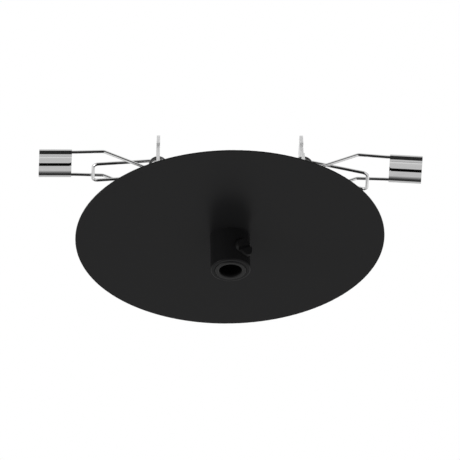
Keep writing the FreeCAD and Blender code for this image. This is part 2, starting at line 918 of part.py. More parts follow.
def bridge_edges(tilt, droop):
    """Front coil, front leg, cross bar, rear leg and rear coil as one chain."""
    leg_direction = unit(-droop)
    turning = COIL_TURNING + tilt + droop
    leg_y = size("bridge_width") / 2
    front = coil_nodes(tilt - 90, turning, -value_of(ARM_SIDE), -leg_y)
    leg_start = front[-1][0]
    corner = leg_start + leg_direction * size("bridge_reach")
    mirrored = Vector(corner.x, leg_y, corner.z)
    rear_start = Vector(leg_start.x, leg_y, leg_start.z)
    bend = size("bridge_corner")
    loop = rounded_edges([leg_start, corner, mirrored, rear_start], [bend, bend])
    rear = [
        (Vector(point.x, -point.y, point.z), Vector(-way.x, way.y, -way.z))
        for point, way in reversed(front)
    ]
    return coil_edges(front) + loop + coil_edges(rear)


def arm_level():
    """Height of the arms' outer runs over the coil axis, before they tilt."""
    rise = math.tan(math.radians(size("arm_rise_angle"))) * size("arm_rise_run")
    return rise - size("coil_diameter") / 2


def arm_edges(tilt, end_sign):
    """One arm from its coil's lower end to its stop inside the sleeve."""
    radius = size("coil_diameter") / 2
    root_y, sleeve_y = end_sign * value_of(ARM_SIDE), end_sign * value_of(SLEEVE_WIRE_SIDE)
    level = arm_level()
    bend_x = size("arm_root_run")
    elbow_x = bend_x + size("arm_rise_run")
    mouth_x = size("sleeve_start") - size("sleeve_lead")
    end_x = size("sleeve_start") + size("sleeve_length") - size("sleeve_wire_stop")
    points = [
        Vector(0, root_y, -radius),
        Vector(bend_x, root_y, -radius),
        Vector(elbow_x, root_y, level),
        Vector(mouth_x, sleeve_y, level),
        Vector(end_x, sleeve_y, level),
    ]
    turned = Rotation(Vector(0, 1, 0), -tilt)
    points = [turned.multVec(point) for point in points]
    bend = size("arm_bend")
    return rounded_edges(points, [bend, bend, size("arm_side_bend")])


def ear_x(side):
    """Where a side's coil axis lies along X."""
    return size("strap_shift") + SIDES[side] * (size("post_span") / 2 + size(side + "_play"))


def on_ear(side):
    """From a spring's own frame to its ear. The left one is turned half round about Z, because a
    spring is the same in front and behind."""
    return Placement(
        Vector(ear_x(side), 0, size("pivot_height")),
        Rotation(Vector(0, 0, 1), 0 if SIDES[side] > 0 else 180),
    )


def least_gap(path):
    """Least clear distance of a round wire to itself, between points over half a turn apart."""
    count = int(path.Length / SAMPLE_STEP)
    points = path.discretize(Number=count)
    step = path.Length / (count - 1)
    apart = int(math.pi * size("coil_diameter") / 2 / step)
    least = path.Length
    for index, point in enumerate(points):
        for other in points[index + apart :]:
            least = min(least, point.distanceToPoint(other))
    return least - size("wire_diameter")


def add_shape(name, shape, placement):
    """A sub-part whose shape is worked out from the sheet, then put in its place."""
    feature = doc.addObject("Part::Feature", name)
    feature.Label = name
    feature.Shape = shape
    feature.Placement = placement
    pieces.append(feature)
    return feature


def make_spring(side):
    tilt, droop = size(side + "_tilt_angle"), size(side + "_droop_angle")
    bridge = bridge_edges(tilt, droop)
    gap = least_gap(Part.Wire(bridge))
    print("%s spring: least gap of the wire to itself %.3f mm" % (side, gap))
    if gap <= LEAST_WIRE_GAP:
        raise ValueError("the turns of the %s spring are too close" % side)
    add_shape(side + "_spring_bridge", wire_solid(bridge), on_ear(side))
    for end, end_sign in ENDS.items():
        arm = wire_solid(arm_edges(tilt, end_sign * SIDES[side]))
        add_shape("%s_spring_%s_arm" % (side, end), arm, on_ear(side))


def make_sleeve(side):
    """A strip of sheet wrapped round both arms into a flat tube, with an open seam underneath."""
    body = new_body(side + "_clip_sleeve")
    section = new_sketch(body, side + "_sleeve_section", "YZ_Plane")
    add_slot(section, SLEEVE_WIRE_SIDE, SLEEVE_ROUND)
    add_slot(section, SLEEVE_WIRE_SIDE, "{wire_diameter} / 2 + {sleeve_fit}")
    add_pad(body, side + "_sleeve_wrap", section, "{sleeve_length}")
    seam = new_sketch(body, side + "_seam_outline", "XY_Plane")
    half = "{sleeve_seam} / 2"
    add_polygon(
        seam,
        [
            ("0 - {cut_margin}", "0 - " + half),
            ("{sleeve_length} + {cut_margin}", "0 - " + half),
            ("{sleeve_length} + {cut_margin}", half),
            ("0 - {cut_margin}", half),
        ],
    )
    before = body.Shape.Volume
    cut = add_feature(body, "Pocket", side + "_seam", seam)
    bind(cut, "Length", SLEEVE_ROUND + " + {cut_margin}")
    doc.recompute()
    if not body.Shape.Volume < before:
        raise ValueError("the seam cuts nothing")
    place_sleeve(body, side)


def place_sleeve(body, side):
    tilted = Rotation(Vector(0, 1, 0), -size(side + "_tilt_angle"))
    start = tilted.multVec(Vector(size("sleeve_start"), 0, arm_level()))
    body.Placement = on_ear(side) * Placement(start, tilted)


# ---- The whole assembly ----

make_cover_plate()
make_grip_shell()
make_grip_core()
make_grip_screw()
turn_to_screw_bearing([p for p in pieces if p.Label in ("grip_shell", "grip_core", "grip_screw")])
make_threaded_tube()
make_tube_stack()
make_bracket()
make_earth_terminal()
for side_name in SIDES:
    make_spring(side_name)
    make_sleeve(side_name)
doc.recompute()

for item in doc.Objects:
    if "Invalid" in item.State or "Error" in item.State:
        raise ValueError("%s is in state %s" % (item.Label, item.State))
for piece in pieces:
    if piece.Shape.isNull() or not piece.Shape.isValid() or len(piece.Shape.Solids) != 1:
        raise ValueError("%s has no sound solid" % piece.Label)

os.makedirs("parts", exist_ok=True)
for piece in pieces:
    piece.Shape.exportStep("parts/%s.step" % piece.Label)
print("%d pieces written" % len(pieces))
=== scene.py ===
import json
import math

import bmesh
import bpy
from mathutils import Matrix, Vector


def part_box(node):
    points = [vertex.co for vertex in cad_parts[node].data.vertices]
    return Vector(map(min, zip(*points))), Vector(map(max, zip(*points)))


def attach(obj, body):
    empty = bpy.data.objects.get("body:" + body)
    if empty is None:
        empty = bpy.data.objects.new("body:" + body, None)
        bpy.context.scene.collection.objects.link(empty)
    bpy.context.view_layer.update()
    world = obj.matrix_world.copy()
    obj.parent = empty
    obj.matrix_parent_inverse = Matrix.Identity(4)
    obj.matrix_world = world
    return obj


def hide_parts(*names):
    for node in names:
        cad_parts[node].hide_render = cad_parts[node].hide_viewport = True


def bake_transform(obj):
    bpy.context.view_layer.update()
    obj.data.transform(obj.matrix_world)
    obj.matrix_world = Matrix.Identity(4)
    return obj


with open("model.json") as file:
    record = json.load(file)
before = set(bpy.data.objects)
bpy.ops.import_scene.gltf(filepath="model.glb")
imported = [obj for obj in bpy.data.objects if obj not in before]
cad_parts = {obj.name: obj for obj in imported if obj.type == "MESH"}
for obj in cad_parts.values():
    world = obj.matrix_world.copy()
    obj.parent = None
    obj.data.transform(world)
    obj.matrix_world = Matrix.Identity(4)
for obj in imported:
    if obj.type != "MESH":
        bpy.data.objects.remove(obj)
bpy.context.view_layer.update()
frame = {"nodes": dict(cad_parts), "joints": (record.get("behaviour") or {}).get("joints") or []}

# Lengths are in millimetres and angles in degrees, except where a comment says otherwise.
MM = 0.001

# The two clips, and which way each one points along X.
SIDES = {"left": -1, "right": 1}
JOINTS = {joint["name"]: joint for joint in frame["joints"]}

# Springs, as the solids have them.
WIRE_RADIUS = 0.625
COIL_RADIUS = 2.85
COIL_PITCH = 2.1
BRIDGE_HALF_WIDTH = 5.55
BRIDGE_REACH = 24.8
BRIDGE_CORNER = 1.9
ARM_ROOT_RUN = 3.64
ARM_RISE_RUN = 17.26
ARM_RISE = 25.0
ARM_LEVEL = math.tan(math.radians(ARM_RISE)) * ARM_RISE_RUN - COIL_RADIUS
ARM_BEND = 2.4
ARM_SIDE_BEND = 9.6

# How far up the arms tilt at rest, and how far down the bridge droops.
TILT = {"left": 0.0, "right": -3.6}
DROOP = {"left": 4.5, "right": 13.9}

# A coil has a turn and a half in six quarter turns, of which the first and the last advance by half.
COIL_QUARTERS = 6
COIL_TURNING = 540.0
COIL_ADVANCE = 5.0
COIL_SIDE = BRIDGE_HALF_WIDTH + COIL_PITCH * COIL_ADVANCE / 4

# Sleeves, as the solids have them.
SLEEVE_START = 33.3
SLEEVE_LENGTH = 12.65
SLEEVE_LEAD = 1.5
SLEEVE_WIRE_STOP = 0.8
SLEEVE_WIRE_SIDE = 7.685
SLEEVE_SHEET_THICKNESS = 0.4
SLEEVE_BEND_RADIUS = 0.865

# The sleeve's sheet is drawn in between its wires, and its seam has round corners at the mouth.
SLEEVE_PINCH = 0.45
PINCH_START = 6.9
PINCH_END = 2.2
SEAM_HALF_GAP = 1.0
SEAM_CORNER = 1.1

# The tube and its M10 x 1 thread, whose crests and flanks are shares of its pitch.
TUBE_BORE_RADIUS = 4.0
TUBE_CHAMFER = 0.5
THREAD_PITCH = 1.0
THREAD_DEPTH = 0.56
THREAD_FLAT = 1 / 8
THREAD_SLOPE = 3 / 8

# Fineness of the wires, the sleeves and the thread.
WIRE_SIDES = 28
COIL_STEPS = 120
BEND_STEPS = 12
SECTION_STEPS = 28
ROLL_STEPS = 20
SEAM_STEPS = 8
THREAD_SIDES = 96
THREAD_ROWS_PER_TURN = 12

# The angle from which an edge is sharp, and how close, in metres, two points count as one.
SHARP_ANGLE = 40.0
MERGE_DISTANCE = 1e-7

# Nodes whose edges get a small bevel, and its width.
BEVELS = {
    "mounting_strap": 0.1,
    "left_post": 0.1,
    "right_post": 0.1,
    "flat_washer": 0.08,
    "earth_washer": 0.06,
    "grip_screw": 0.08,
}
BEVEL_ANGLE = 25.0
BEVEL_SEGMENTS = 2

# Colours and shades of grey, and the depth of the surfaces' grain in metres.
PLATE_COLOUR = (0.0112, 0.0112, 0.0116)
GRIP_COLOUR = (0.0086, 0.0086, 0.0089)
ZINC_COLOUR = (0.6, 0.6, 0.61)
BRASS_COLOUR = (0.72, 0.52, 0.24)
NYLON_SHADE = 0.013
STRAP_SHADE = 0.94
SPRING_SHADE = 0.88
SLEEVE_SHADE = 0.87
# Near black for the sleeves' inner faces: a painted shadow in the seam's gap.
SLEEVE_PAINTED_SHADOW_GREY = 0.03
GRAIN_DEPTH = 0.00002

# Uneven colour: how fine its noise is, and between which of its values it goes from dim to full.
MOTTLE_DETAIL = 4.0
MOTTLE_LOW = 0.3
MOTTLE_HIGH = 0.7

# Painted shade: coils are painted darker, for the shade and dark reflections within the windings,
# over some steps from each end, where their mark goes from 0 to 1.
COIL_PAINTED_SHADE_MARK = "coil_painted_shade"
COIL_PAINTED_SHADE = 0.16
SHADE_FADE_STEPS = 14

# Painted shade in the bore: the grip's core is painted darker up its bore between two heights above
# its lip, to a share of its grey.
BORE_SHADE_START = 0.3
BORE_SHADE_END = 1.6
BORE_SHADE_SHARE = 0.1

# Camera: where it stands and how it is rolled, as the photograph shows the object.
VIEW_ELEVATION = 33.93
VIEW_YAW = 2.3
VIEW_ROLL = 1.2
VIEW_DISTANCE = 6000.0
VIEW_TARGET_SIDE = 0.1
VIEW_TARGET_HEIGHT = 3.21
PIXELS_PER_MM = 2.577
PHOTO_WIDTH = 460.0
SENSOR_WIDTH = 36.0

# The nearest and furthest that the camera sees, in metres.
CLIP_START = 0.01
CLIP_END = 100.0

# Round lamps: their places, their target and their widths in metres, and their power in watts.
LAMP_TARGET = (0.0, 0.0, 0.01)
KEY_PLACE = (-1.5, -0.5, -0.3)
KEY_WIDTH = 0.8
KEY_POWER = 6.0
TOP_PLACE = (0.3, 0.2, 1.4)
TOP_WIDTH = 1.0
TOP_POWER = 4.0

# Light that reaches matt surfaces from all round, and what shiny metal mirrors of the surroundings:
# patches from one pitch to another, up from straight ahead and so negative below, with their soft
# edge, the sine of the lean sideways up to which they are full and at which they end, and their
# shade from 0 to 1. The lean is counted from its centre.
PLAIN_LIGHT = 0.75
LEAN_CENTRE = -0.05
DARK_PATCHES = [
    (-136.0, 36.0, 8.0, 0.3, 0.56, 0.98),
    (-160.0, -136.0, 4.0, 0.3, 0.5, 0.4),
    (-178.0, -163.0, 3.0, 0.4, 0.6, 0.75),
    (30.0, 190.0, 10.0, 1.0, 1.2, 0.34),
    (-150.0, 40.0, 10.0, 1.0, 1.2, 0.28),
]


# ---- Materials ----


def grey(shade):
    return (shade, shade, shade)


def shader_of(material):
    return material.node_tree.nodes["Principled BSDF"]


def new_material(name, colour, roughness, metallic=0.0, specular=0.5):
    material = bpy.data.materials.new(name)
    material.use_nodes = True
    shader = shader_of(material)
    shader.inputs["Base Color"].default_value = (*colour, 1.0)
    shader.inputs["Roughness"].default_value = roughness
    shader.inputs["Metallic"].default_value = metallic
    shader.inputs["Specular IOR Level"].default_value = specular
    return material


def add_grain(material, scale, strength):
    """Fine unevenness of the surface, as a bump from noise in the object's own space."""
    tree = material.node_tree
    place = tree.nodes.new("ShaderNodeTexCoord")
    noise = tree.nodes.new("ShaderNodeTexNoise")
    noise.inputs["Scale"].default_value = scale
    bump = tree.nodes.new("ShaderNodeBump")
    bump.inputs["Strength"].default_value = strength
    bump.inputs["Distance"].default_value = GRAIN_DEPTH
    tree.links.new(place.outputs["Object"], noise.inputs["Vector"])
    tree.links.new(noise.outputs["Fac"], bump.inputs["Height"])
    tree.links.new(bump.outputs["Normal"], shader_of(material).inputs["Normal"])


def add_mottle(material, stretch, spread):
    """Uneven colour: noise in the object's own space, stretched along its axes, dims it a little."""
    tree = material.node_tree
    colour = shader_of(material).inputs["Base Color"]
    full = tuple(colour.default_value)
    place = tree.nodes.new("ShaderNodeTexCoord")
    mapping = tree.nodes.new("ShaderNodeMapping")
    mapping.inputs["Scale"].default_value = stretch
    noise = tree.nodes.new("ShaderNodeTexNoise")
    noise.inputs["Scale"].default_value = 1.0
    noise.inputs["Detail"].default_value = MOTTLE_DETAIL
    ramp = tree.nodes.new("ShaderNodeValToRGB")
    low, high = ramp.color_ramp.elements
    low.position, high.position = MOTTLE_LOW, MOTTLE_HIGH
    low.color = tuple(part * (1 - spread) for part in full[:3]) + (1.0,)
    high.color = full
    tree.links.new(place.outputs["Object"], mapping.inputs["Vector"])
    tree.links.new(mapping.outputs["Vector"], noise.inputs["Vector"])
    tree.links.new(noise.outputs["Fac"], ramp.inputs["Fac"])
    tree.links.new(ramp.outputs["Color"], colour)


def paint_shade_upwards(material, start, end, least):
    """Painted shade: dims a grey with height in metres, from full at start to a share at end, for
    the shade deep in a bore.
    """
    tree = material.node_tree
    colour = shader_of(material).inputs["Base Color"]
    full = colour.default_value[0]
    place = tree.nodes.new("ShaderNodeNewGeometry")
    parts = tree.nodes.new("ShaderNodeSeparateXYZ")
    fade = tree.nodes.new("ShaderNodeMapRange")
    fade.inputs["From Min"].default_value = start
    fade.inputs["From Max"].default_value = end
    fade.inputs["To Min"].default_value = full
    fade.inputs["To Max"].default_value = full * least
    tree.links.new(place.outputs["Position"], parts.inputs[0])
    tree.links.new(parts.outputs["Z"], fade.inputs["Value"])
    tree.links.new(fade.outputs["Result"], colour)


def paint_coil_shade(material, shade, painted_shade_grey):
    """Steel with painted shade: darker where the mesh's mark is high, for the shade within a coil's
    windings.
    """
    tree = material.node_tree
    mark = tree.nodes.new("ShaderNodeAttribute")
    mark.attribute_name = COIL_PAINTED_SHADE_MARK
    mix = tree.nodes.new("ShaderNodeMix")
    mix.data_type = "RGBA"
    first, second = [socket for socket in mix.inputs if socket.type == "RGBA"]
    first.default_value = (*grey(shade), 1.0)
    second.default_value = (*grey(painted_shade_grey), 1.0)
    mixed = [socket for socket in mix.outputs if socket.type == "RGBA"][0]
    tree.links.new(mark.outputs["Fac"], mix.inputs["Factor"])
    tree.links.new(mixed, shader_of(material).inputs["Base Color"])


DARK_PAINT = new_material("dark_paint", PLATE_COLOUR, roughness=0.3, specular=0.085)
SHELL_PAINT = new_material("shell_paint", GRIP_COLOUR, roughness=0.28, specular=0.1)
SCREW_PAINT = new_material("screw_paint", GRIP_COLOUR, roughness=0.42, specular=0.08)
NYLON = new_material("black_nylon", grey(NYLON_SHADE), roughness=0.4, specular=0.22)
# Nylon of the grip's core, whose colour is dimmed up the bore as painted shade.
BORE_SHADED_NYLON = new_material("bore_shaded_nylon", grey(NYLON_SHADE), roughness=0.4, specular=0.22)
ZINC = new_material("zinc_steel", ZINC_COLOUR, roughness=0.3, metallic=1.0)
BRASS = new_material("brass", BRASS_COLOUR, roughness=0.3, metallic=1.0)
STRAP_STEEL = new_material("strap_steel", grey(STRAP_SHADE), roughness=0.5, metallic=0.2)
SPRING_STEEL = new_material("spring_steel", grey(SPRING_SHADE), roughness=0.07, metallic=1.0)
# Coil steel whose colour is darkened by the mark, as painted shade within the windings.
COIL_PAINTED_SHADE_STEEL = new_material("coil_painted_shade_steel", grey(SPRING_SHADE), roughness=0.07, metallic=1.0)
SLEEVE_SHEET = new_material("sleeve_sheet", grey(SLEEVE_SHADE), roughness=0.1, metallic=1.0)
# The sleeves' inner faces, near black as a painted shadow in the seam.
SLEEVE_INSIDE_PAINTED_SHADOW = new_material("sleeve_inside_painted_shadow", grey(SLEEVE_PAINTED_SHADOW_GREY), roughness=0.6, metallic=1.0)

# Grain: how many spots there are to a metre, and their strength.
GRAINS = [
    (DARK_PAINT, 2500.0, 0.06),
    (SHELL_PAINT, 2500.0, 0.06),
    (SCREW_PAINT, 2500.0, 0.06),
    (NYLON, 1500.0, 0.1),
    (ZINC, 1800.0, 0.08),
    (BRASS, 2200.0, 0.08),
    (STRAP_STEEL, 1800.0, 0.12),
]

# Uneven colour: how many spots there are to a metre along X, Y and Z, and how much they dim.
MOTTLES = [
    (ZINC, (400.0, 400.0, 400.0), 0.12),
    (BRASS, (500.0, 500.0, 500.0), 0.12),
    (STRAP_STEEL, (250.0, 250.0, 60.0), 0.1),
    (SPRING_STEEL, (150.0, 1500.0, 1500.0), 0.08),
    (SLEEVE_SHEET, (60.0, 2600.0, 2600.0), 0.14),
]

NODE_MATERIALS = {
    "cover_plate": DARK_PAINT,
    "grip_shell": SHELL_PAINT,
    "grip_core": BORE_SHADED_NYLON,
    "grip_screw": SCREW_PAINT,
    "threaded_tube": ZINC,
    "flat_washer": ZINC,
    "lock_washer": ZINC,
    "hex_nut": ZINC,
    "tube_bush": NYLON,
    "mounting_strap": STRAP_STEEL,
    "left_post": STRAP_STEEL,
    "right_post": STRAP_STEEL,
    "earth_screw": BRASS,
    "earth_washer": BRASS,
    "earth_nut": BRASS,
}


def finish_materials():
    for material, scale, strength in GRAINS:
        add_grain(material, scale, strength)
    for material, stretch, spread in MOTTLES:
        add_mottle(material, stretch, spread)
    paint_coil_shade(COIL_PAINTED_SHADE_STEEL, SPRING_SHADE, COIL_PAINTED_SHADE)
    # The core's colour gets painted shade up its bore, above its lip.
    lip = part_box("grip_core")[0].z
    start, end = lip + BORE_SHADE_START * MM, lip + BORE_SHADE_END * MM
    paint_shade_upwards(BORE_SHADED_NYLON, start, end, BORE_SHADE_SHARE)


def paint_node(name, material):
    for slot in frame["nodes"][name].material_slots:
        slot.material = material


def bevel_node(name, width):
    bevel = frame["nodes"][name].modifiers.new("bevel", "BEVEL")
    bevel.width = width * MM
    bevel.segments = BEVEL_SEGMENTS
    bevel.limit_method = "ANGLE"
    bevel.angle_limit = math.radians(BEVEL_ANGLE)
    bevel.harden_normals = True


# ---- Meshes ----


def add_object(name, data):
    item = bpy.data.objects.new(name, data)
    bpy.context.scene.collection.objects.link(item)
    return item


def new_piece(name, points, faces, material):
    """A smooth mesh object from points in millimetres."""
    mesh = bpy.data.meshes.new(name)
    mesh.from_pydata([Vector(point) * MM for point in points], [], faces)
    mesh.materials.append(material)
    for polygon in mesh.polygons:
        polygon.use_smooth = True
    mesh.update()
    piece = add_object(name, mesh)
    return piece


def clean_mesh(piece):
    """Merges points that coincide, turns all faces outward and keeps corners sharp."""
    shape = bmesh.new()
    shape.from_mesh(piece.data)
    bmesh.ops.remove_doubles(shape, verts=shape.verts, dist=MERGE_DISTANCE)
    bmesh.ops.recalc_face_normals(shape, faces=shape.faces)
    shape.to_mesh(piece.data)
    shape.free()
    piece.data.set_sharp_from_angle(angle=math.radians(SHARP_ANGLE))
    return piece


def ring_faces(rings, count, closed=False):
    """Faces from each ring of points to the next, and from the last to the first if closed."""
    faces = []
    for ring in range(rings if closed else rings - 1):
        here, there = ring * count, (ring + 1) % rings * count
        for point in range(count):
            after = (point + 1) % count
            faces.append((here + point, here + after, there + after, there + point))
    return faces


def sweep(path, radius, sides):
    """Points and faces of a round wire with flat ends along a path of points."""
    last = len(path) - 1
    points = []
    tangent = (path[1] - path[0]).normalized()
    normal = (Vector((0, 1, 0)) - tangent * tangent.y).normalized()
    for index, centre in enumerate(path):
        tangent = (path[min(index + 1, last)] - path[max(index - 1, 0)]).normalized()
        normal = (normal - tangent * normal.dot(tangent)).normalized()
        across = tangent.cross(normal)
        for side in range(sides):
            angle = 2 * math.pi * side / sides
            points.append(centre + (normal * math.cos(angle) + across * math.sin(angle)) * radius)
    faces = ring_faces(len(path), sides)
    faces.append(tuple(reversed(range(sides))))
    faces.append(tuple(range(last * sides, len(path) * sides)))
    return points, faces


def rounded(corners, radii):
    """The corners' path with a tangent arc of its own radius at each inner corner."""
    path = [corners[0]]
    for before, corner, after, radius in zip(corners, corners[1:], corners[2:], radii):
        inward = (corner - before).normalized()
        outward = (after - corner).normalized()
        turn = inward.angle(outward)
        start = corner - inward * (radius * math.tan(turn / 2))
        centre = corner + (outward - inward).normalized() * (radius / math.cos(turn / 2))
        axis = inward.cross(outward).normalized()
        for step in range(BEND_STEPS + 1):
            turned = Matrix.Rotation(turn * step / BEND_STEPS, 3, axis) @ (start - centre)
            path.append(centre + turned)
    path.append(corners[-1])
    return path


# ---- Springs ----
# A spring's own frame has the coils' axis as Y, X outward and Z up.


def unit(angle):
    """One step in the plane across the coils' axis, at an angle up from outward."""
    return Vector((math.cos(math.radians(angle)), 0, math.sin(math.radians(angle))))


def pivot_of(side):
    return Vector(JOINTS[side + "_swing"]["pos_m"]) / MM


def on_ear(side, path):
    """From a spring's own frame to its ear: the left one is turned half round about Z."""
    sign = SIDES[side]
    return [pivot_of(side) + Vector((sign * p.x, sign * p.y, p.z)) for p in path]


def arm_tilt(side):
    return Matrix.Rotation(math.radians(-TILT[side]), 3, "Y")


def coil_advance(quarters):
    """How far a coil has advanced along its axis after some quarter turns, from 0 to 1."""
    rest = COIL_QUARTERS - quarters
    if quarters < 1:
        done = quarters**2 / 2
    elif rest < 1:
        done = COIL_ADVANCE - rest**2 / 2
    else:
        done = quarters - 1 / 2
    return done / COIL_ADVANCE


def coil_path(side, end_sign):
    """From the arm to the bridge, clockwise seen from the front."""
    turning = COIL_TURNING + TILT[side] + DROOP[side]
    path = []
    for step in range(COIL_STEPS + 1):
        share = step / COIL_STEPS
        advance = coil_advance(COIL_QUARTERS * share)
        across = COIL_SIDE + (BRIDGE_HALF_WIDTH - COIL_SIDE) * advance
        around = unit(TILT[side] - 90 - turning * share) * COIL_RADIUS
        path.append(around + Vector((0, end_sign * across, 0)))
    return path


def bridge_path(side):
    start = unit(90 - DROOP[side]) * COIL_RADIUS
    reach = unit(-DROOP[side]) * BRIDGE_REACH
    front, rear = Vector((0, -BRIDGE_HALF_WIDTH, 0)), Vector((0, BRIDGE_HALF_WIDTH, 0))
    corners = [start + front, start + reach + front, start + reach + rear, start + rear]
    return rounded(corners, [BRIDGE_CORNER] * 2)


def arm_path(side, end_sign):
    root, inside = end_sign * COIL_SIDE, end_sign * SLEEVE_WIRE_SIDE
    end = SLEEVE_START + SLEEVE_LENGTH - SLEEVE_WIRE_STOP
    corners = [
        Vector((0, root, -COIL_RADIUS)),
        Vector((ARM_ROOT_RUN, root, -COIL_RADIUS)),
        Vector((ARM_ROOT_RUN + ARM_RISE_RUN, root, ARM_LEVEL)),
        Vector((SLEEVE_START - SLEEVE_LEAD, inside, ARM_LEVEL)),
        Vector((end, inside, ARM_LEVEL)),
    ]
    tilted = [arm_tilt(side) @ corner for corner in corners]
    return rounded(tilted, [ARM_BEND, ARM_BEND, ARM_SIDE_BEND])


def make_wire(name, side, path, material=SPRING_STEEL):
    points, faces = sweep(on_ear(side, path), WIRE_RADIUS, WIRE_SIDES)
    return clean_mesh(new_piece(name, points, faces, material))


def mark_coil_shade(coil):
    """Marks how much painted shade each point of a coil gets, from 0 at both ends to 1."""
    marks = coil.data.attributes.new(COIL_PAINTED_SHADE_MARK, "FLOAT", "POINT")
    for vertex in coil.data.vertices:
        step = vertex.index // WIRE_SIDES
        marks.data[vertex.index].value = min(step, COIL_STEPS - step, SHADE_FADE_STEPS) / SHADE_FADE_STEPS


def make_spring(side):
    """The bridge swings, the arms fold, and each coil winds from the one to the other."""
    spring_body, arms_body = side + "_spring", side + "_arms"
    bridge = make_wire(side + "_bridge_wire", side, bridge_path(side))
    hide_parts(side + "_spring_bridge")
    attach(bridge, spring_body)
    for end, sign in (("front", -1), ("rear", 1)):
        end_sign = sign * SIDES[side]
        path = coil_path(side, end_sign)
        # Each coil is drawn in the steel with painted shade within its windings.
        coil = make_wire("%s_%s_coil" % (side, end), side, path, COIL_PAINTED_SHADE_STEEL)
        mark_coil_shade(coil)
        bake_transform(coil)
        arm = make_wire("%s_%s_arm_wire" % (side, end), side, arm_path(side, end_sign))
        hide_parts("%s_spring_%s_arm" % (side, end))
        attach(arm, arms_body)


# ---- Clip sleeves ----


def sleeve_half_height(across):
    """Height of the sheet's middle line above the plane of the wires."""
    share = (PINCH_START - abs(across)) / (PINCH_START - PINCH_END)
    rest = 1 - min(max(share, 0.0), 1.0)
    return SLEEVE_BEND_RADIUS - SLEEVE_PINCH * (1 - rest**2)


def sleeve_section(half_gap):
    """Middle line of the sheet from one edge of the seam round both wires to the other edge."""
    half = []
    for step in range(SECTION_STEPS + 1):
        across = half_gap + (SLEEVE_WIRE_SIDE - half_gap) * step / SECTION_STEPS
        half.append(Vector((0, across, -sleeve_half_height(across))))
    for step in range(1, ROLL_STEPS):
        angle = math.pi * (step / ROLL_STEPS - 1 / 2)
        rolled = Vector((0, math.cos(angle), math.sin(angle))) * SLEEVE_BEND_RADIUS
        half.append(Vector((0, SLEEVE_WIRE_SIDE, 0)) + rolled)
    for step in range(SECTION_STEPS + 1):
        across = SLEEVE_WIRE_SIDE * (1 - step / SECTION_STEPS)
        half.append(Vector((0, across, sleeve_half_height(across))))
    other = [Vector((0, -point.y, point.z)) for point in reversed(half[:-1])]
    return half + other


def seam_half_gap(along):
    """The seam opens in a quarter round at the sleeve's mouth."""
    if along >= SEAM_CORNER:
        return SEAM_HALF_GAP
    rest = SEAM_CORNER - along
    return SEAM_HALF_GAP + SEAM_CORNER - math.sqrt(SEAM_CORNER**2 - rest**2)


def sleeve_ring(along):
    """Closed outline of the sheet at one place along the sleeve: outside, then back inside."""
    middle = sleeve_section(seam_half_gap(along))
    last = len(middle) - 1
    outside, inside = [], []
    for index, point in enumerate(middle):
        way = (middle[min(index + 1, last)] - middle[max(index - 1, 0)]).normalized()
        outward = Vector((0, -way.z, way.y)) * -SLEEVE_SHEET_THICKNESS / 2
        outside.append(point + outward)
        inside.append(point - outward)
    return outside + inside[::-1]


def make_sleeve(side):
    """The first half of each ring's points is on the outside, and the rest on the inside."""
    places = [SEAM_CORNER * (step / SEAM_STEPS) ** 2 for step in range(SEAM_STEPS)]
    places += [SEAM_CORNER, SLEEVE_LENGTH]
    tilted = arm_tilt(side)
    points = []
    for along in places:
        start = Vector((SLEEVE_START + along, 0, ARM_LEVEL))
        points += on_ear(side, [tilted @ (start + point) for point in sleeve_ring(along)])
    count = len(points) // len(places)
    half = count // 2
    faces = ring_faces(len(places), count)
    for base in (0, (len(places) - 1) * count):
        for column in range(half - 1):
            far = count - 1 - column
            faces.append((base + column, base + column + 1, base + far - 1, base + far))
    piece = new_piece(side + "_sleeve_sheet", points, faces, SLEEVE_SHEET)
    # The inner faces get the near-black painted shadow.
    piece.data.materials.append(SLEEVE_INSIDE_PAINTED_SHADOW)
    for face in piece.data.polygons:
        on_inside = all(half <= vertex % count for vertex in face.vertices)
        face.material_index = 1 if on_inside else 0
    clean_mesh(piece)
    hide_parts(side + "_clip_sleeve")
    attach(piece, side + "_arms")


# ---- Threaded tube ----


def thread_height(phase):
    """Height of the thread between root and crest, 0 to 1, over one pitch."""
    phase %= 1
    if phase < THREAD_FLAT:
        return 1.0
    if phase < THREAD_FLAT + THREAD_SLOPE:
        return 1 - (phase - THREAD_FLAT) / THREAD_SLOPE
    if phase < 2 * THREAD_FLAT + THREAD_SLOPE:
        return 0.0
    return (phase - 2 * THREAD_FLAT - THREAD_SLOPE) / THREAD_SLOPE


def make_threaded_tube():
    """Rings of points up the outside, whose radius follows the thread, and two round the bore."""
    low, high = (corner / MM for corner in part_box("threaded_tube"))
    crest = high.x
    rows = int((high.z - low.z) / THREAD_PITCH * THREAD_ROWS_PER_TURN)
    points = []
    for row in range(rows + 1):
        z = low.z + (high.z - low.z) * row / rows
        most = min(crest, crest - TUBE_CHAMFER + min(z - low.z, high.z - z))
        for side in range(THREAD_SIDES):
            share = side / THREAD_SIDES
            angle = 2 * math.pi * share
            thread = crest - THREAD_DEPTH * (1 - thread_height(z / THREAD_PITCH - share))
            radius = min(most, thread)
            points.append((radius * math.cos(angle), radius * math.sin(angle), z))
    for z in (high.z, low.z):
        for side in range(THREAD_SIDES):
            angle = 2 * math.pi * side / THREAD_SIDES
            x, y = TUBE_BORE_RADIUS * math.cos(angle), TUBE_BORE_RADIUS * math.sin(angle)
            points.append((x, y, z))
    faces = ring_faces(rows + 3, THREAD_SIDES, closed=True)
    piece = clean_mesh(new_piece("tube_thread", points, faces, ZINC))
    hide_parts("threaded_tube")
    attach(piece, "root")


# ---- Camera, lights and surroundings ----


